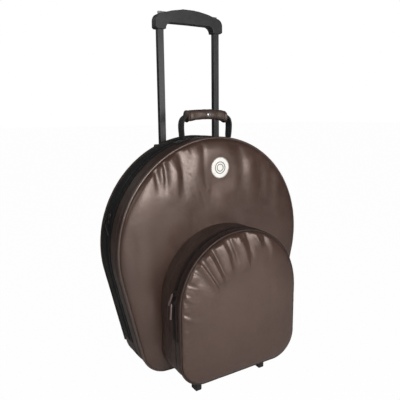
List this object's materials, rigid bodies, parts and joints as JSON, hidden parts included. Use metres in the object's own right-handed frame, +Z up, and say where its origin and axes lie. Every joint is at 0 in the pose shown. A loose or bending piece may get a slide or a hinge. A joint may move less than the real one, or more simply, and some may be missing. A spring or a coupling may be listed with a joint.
{
  "type": "wheeled cymbal bag",
  "caption": "Round-topped padded cymbal bag on two wheels, with a zipped lid, a front pocket with a zipped flap, a carry handle and a pull-out trolley handle.",
  "frame": {"origin": "on the floor, under the middle of the whole bag's width and depth", "axes": "+Z up, the front with its pocket faces -Y, +X to the right as seen from the front"},
  "size_m": [0.6013, 0.311, 1.047],
  "materials": {
    "brown_vinyl": "semi-gloss brown vinyl with soft folds",
    "black_cloth": "matt near-black woven nylon",
    "lining_cloth": "matt dark grey padded lining",
    "black_zip": "black zip tape with coil teeth",
    "webbing": "matt black ribbed webbing",
    "pull_cord": "pale grey-pink cord pull",
    "slider_metal": "dark painted metal",
    "badge_white": "off-white moulded badge",
    "moulded_black": "satin moulded black plastic",
    "rod_grey": "dark grey anodised tube",
    "bright_steel": "bright steel",
    "wheel_rubber": "matt black rubber",
    "board_grey": "dark grey board"
  },
  "bodies": {
    "back_shell": {"rear_gusset": "black_cloth", "rear_piping": "brown_vinyl", "rear_piping_bottom": "brown_vinyl", "back_panel": "brown_vinyl", "frame_board": "board_grey", "main_zip_rear": "black_zip", "trolley_bezel": "moulded_black", "outer_tube_left": "rod_grey", "outer_tube_right": "rod_grey", "bottom_bracket": "moulded_black", "wheel_housing_left": "moulded_black", "wheel_housing_right": "moulded_black", "housing_screw_left": "bright_steel", "housing_screw_right": "bright_steel", "axle_left": "bright_steel", "axle_right": "bright_steel"},
    "lid": {"front_gusset": "brown_vinyl", "front_piping": "brown_vinyl", "front_panel": "brown_vinyl", "main_zip_front": "black_zip", "badge": "badge_white", "pocket_gusset": "brown_vinyl", "pocket_lower_piping": "brown_vinyl", "pocket_lower_panel": "brown_vinyl", "pocket_zip_rear": "black_zip", "pocket_base_board": "board_grey", "foot_left": "moulded_black", "foot_right": "moulded_black", "foot_screw_left": "bright_steel", "foot_screw_right": "bright_steel", "strap_anchor_left": "webbing", "strap_anchor_right": "webbing"},
    "pocket_flap": {"pocket_flap_strip": "brown_vinyl", "pocket_flap_piping": "brown_vinyl", "pocket_flap_panel": "brown_vinyl", "pocket_zip_front": "black_zip"},
    "divider": {"cymbal_divider": "lining_cloth"},
    "carry_handle": {"carry_strap_left": "webbing", "carry_strap_right": "webbing", "handle_wrap": "brown_vinyl", "handle_snap": "bright_steel"},
    "trolley": {"rod_left": "rod_grey", "rod_right": "rod_grey", "rod_guide_left": "moulded_black", "rod_guide_right": "moulded_black", "trolley_grip": "moulded_black"},
    "trolley_button": {"push_button": "moulded_black", "lock_fork": "bright_steel"},
    "wheel_left": {"wheel_hub_left": "moulded_black", "wheel_tyre_left": "wheel_rubber"},
    "wheel_right": {"wheel_hub_right": "moulded_black", "wheel_tyre_right": "wheel_rubber"},
    "main_slider_upper": {"main_slider_upper": "slider_metal"},
    "main_slider_lower": {"main_slider_lower": "slider_metal"},
    "main_pull_upper": {"main_pull_upper": "slider_metal"},
    "main_pull_lower": {"main_pull_lower": "slider_metal"},
    "pocket_slider_upper": {"pocket_slider_upper": "slider_metal"},
    "pocket_slider_lower": {"pocket_slider_lower": "slider_metal"},
    "pocket_pull_upper": {"pocket_pull_upper": "pull_cord"},
    "pocket_pull_lower": {"pocket_pull_lower": "pull_cord"}
  },
  "joints": [
    {"name": "lid_hinge", "type": "hinge", "parent": "back_shell", "child": "lid", "pos_m": [0, 0.063, 0.04], "axis": [1, 0, 0], "range_deg": [0, 120]},
    {"name": "pocket_flap_hinge", "type": "hinge", "parent": "lid", "child": "pocket_flap", "pos_m": [0, -0.1558, 0.18], "axis": [1, 0, 0], "range_deg": [0, 110]},
    {"name": "divider_hinge", "type": "hinge", "parent": "back_shell", "child": "divider", "pos_m": [0, 0.0675, 0.0533], "axis": [1, 0, 0], "range_deg": [0, 90]},
    {"name": "carry_handle_hinge", "type": "hinge", "parent": "lid", "child": "carry_handle", "pos_m": [0, 0.0335, 0.6983], "axis": [1, 0, 0], "range_deg": [-35, 65]},
    {"name": "trolley_slide", "type": "slide", "parent": "back_shell", "child": "trolley", "axis": [0, 0, 1], "range_m": [-0.3, 0]},
    {"name": "trolley_button_press", "type": "slide", "parent": "trolley", "child": "trolley_button", "axis": [0, 0, -1], "range_m": [0, 0.0035], "stiffness_N_per_m": 900, "springref_m": -0.002},
    {"name": "wheel_spin_left", "type": "hinge", "parent": "back_shell", "child": "wheel_left", "pos_m": [-0.142, 0.1255, 0.03], "axis": [1, 0, 0], "continuous": true},
    {"name": "wheel_spin_right", "type": "hinge", "parent": "back_shell", "child": "wheel_right", "pos_m": [0.142, 0.1255, 0.03], "axis": [1, 0, 0], "continuous": true},
    {"name": "main_slider_upper_run", "type": "hinge", "parent": "back_shell", "child": "main_slider_upper", "pos_m": [0, 0.063, 0.392], "axis": [0, 1, 0], "range_deg": [0, 172]},
    {"name": "main_slider_lower_run", "type": "hinge", "parent": "back_shell", "child": "main_slider_lower", "pos_m": [0, 0.063, 0.392], "axis": [0, 1, 0], "range_deg": [-25, 0]},
    {"name": "main_pull_upper_swing", "type": "hinge", "parent": "main_slider_upper", "child": "main_pull_upper", "pos_m": [-0.29479, 0.063, 0.48925], "axis": [0, 1, 0], "range_deg": [0, 150]},
    {"name": "main_pull_lower_swing", "type": "hinge", "parent": "main_slider_lower", "child": "main_pull_lower", "pos_m": [-0.29991, 0.063, 0.47029], "axis": [0, 1, 0], "range_deg": [0, 150]},
    {"name": "pocket_slider_upper_run", "type": "hinge", "parent": "lid", "child": "pocket_slider_upper", "pos_m": [0, -0.1145, 0.262], "axis": [0, 1, 0], "range_deg": [0, 165]},
    {"name": "pocket_slider_lower_run", "type": "hinge", "parent": "lid", "child": "pocket_slider_lower", "pos_m": [0, -0.1145, 0.262], "axis": [0, 1, 0], "range_deg": [-5, 0]},
    {"name": "pocket_pull_upper_swing", "type": "hinge", "parent": "pocket_slider_upper", "child": "pocket_pull_upper", "pos_m": [-0.19602, -0.1145, 0.31002], "axis": [0, 1, 0], "range_deg": [0, 150]},
    {"name": "pocket_pull_lower_swing", "type": "hinge", "parent": "pocket_slider_lower", "child": "pocket_pull_lower", "pos_m": [-0.19956, -0.1145, 0.28275], "axis": [0, 1, 0], "range_deg": [0, 150]}
  ],
  "couplings": [
    {"joint": "divider_hinge", "follows": "lid_hinge", "ratio": 0.75}
  ]
}
